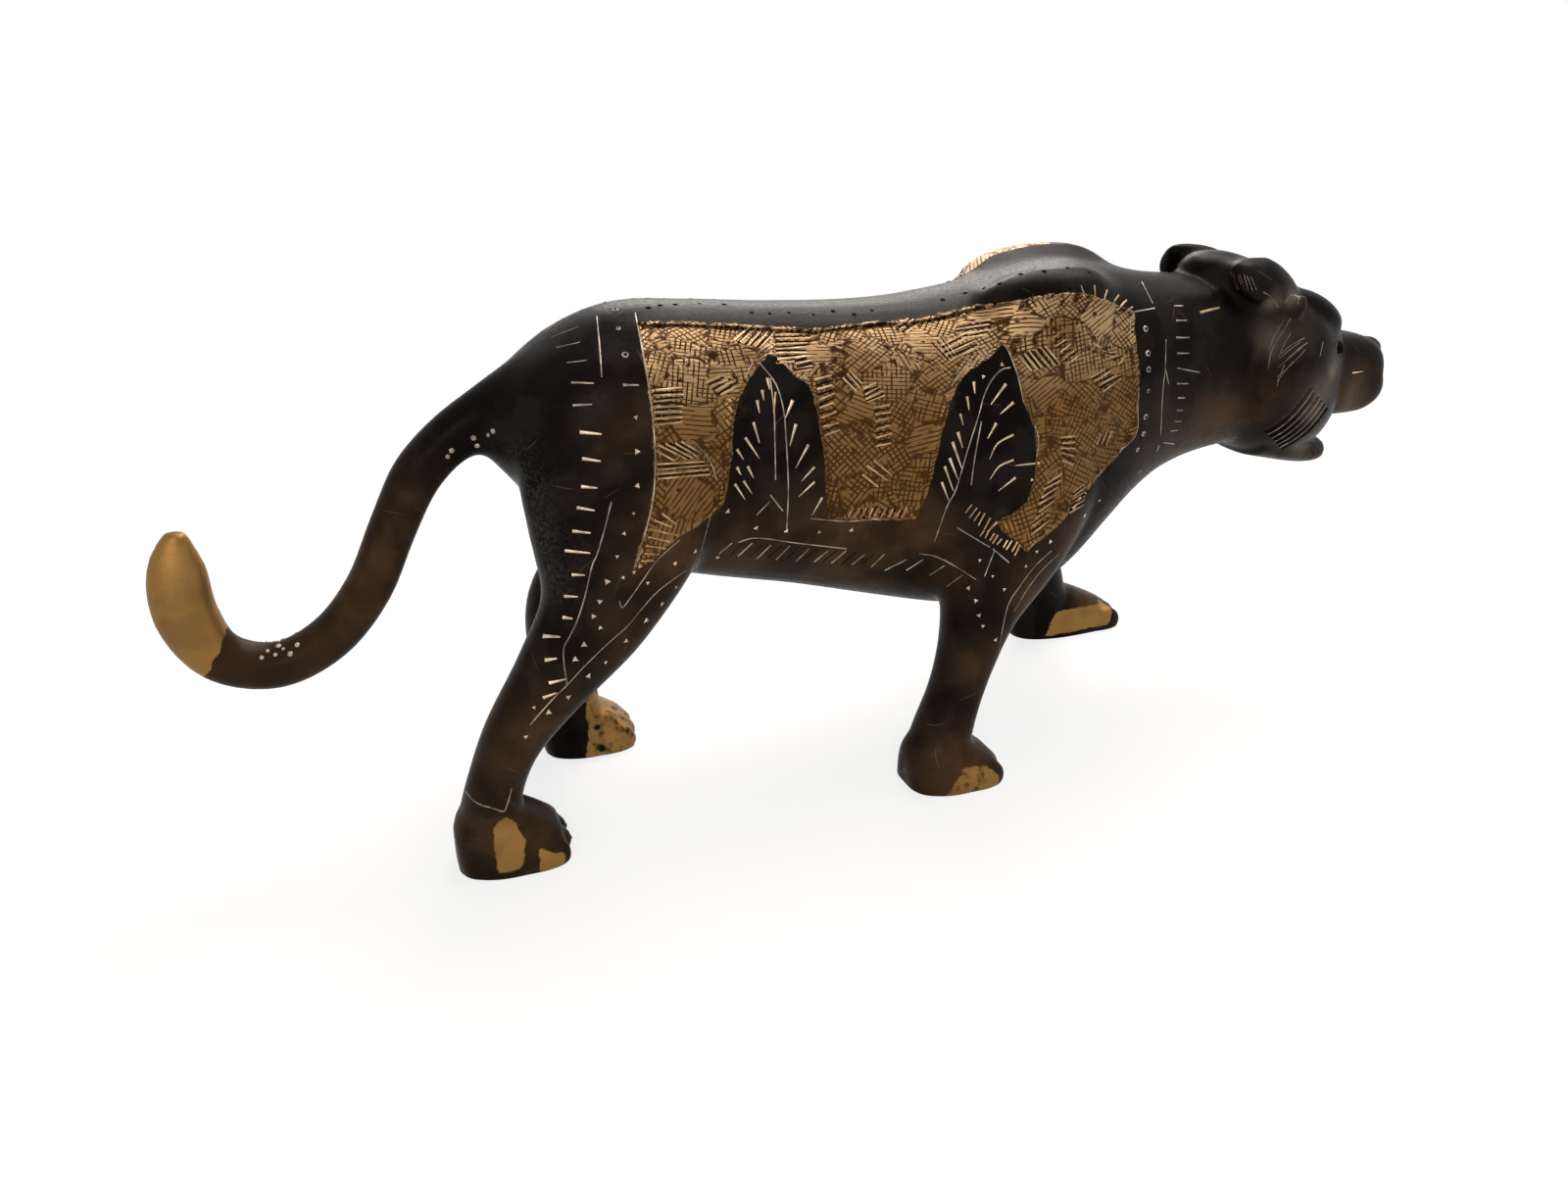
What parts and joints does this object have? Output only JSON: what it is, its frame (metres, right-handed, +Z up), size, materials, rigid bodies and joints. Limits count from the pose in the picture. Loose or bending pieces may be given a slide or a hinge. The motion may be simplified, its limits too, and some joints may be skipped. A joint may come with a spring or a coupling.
{
  "type": "leopard figurine",
  "caption": "Walking leopard figurine cast in dark patinated brass, head up, jaws open, tail curled, with a cross-hatched and engraved gold decoration. Stands on its paws.",
  "frame": {"origin": "on the ground under the middle of the figure's box", "axes": "+Z up, +X towards the head, +Y the animal's left"},
  "size_m": [0.2962, 0.078, 0.1122],
  "materials": {
    "leopard_casting": "dark brown patina, polished, gold where engraved or worn"
  },
  "bodies": {
    "root": {"leopard_casting": "leopard_casting"}
  },
  "joints": []
}
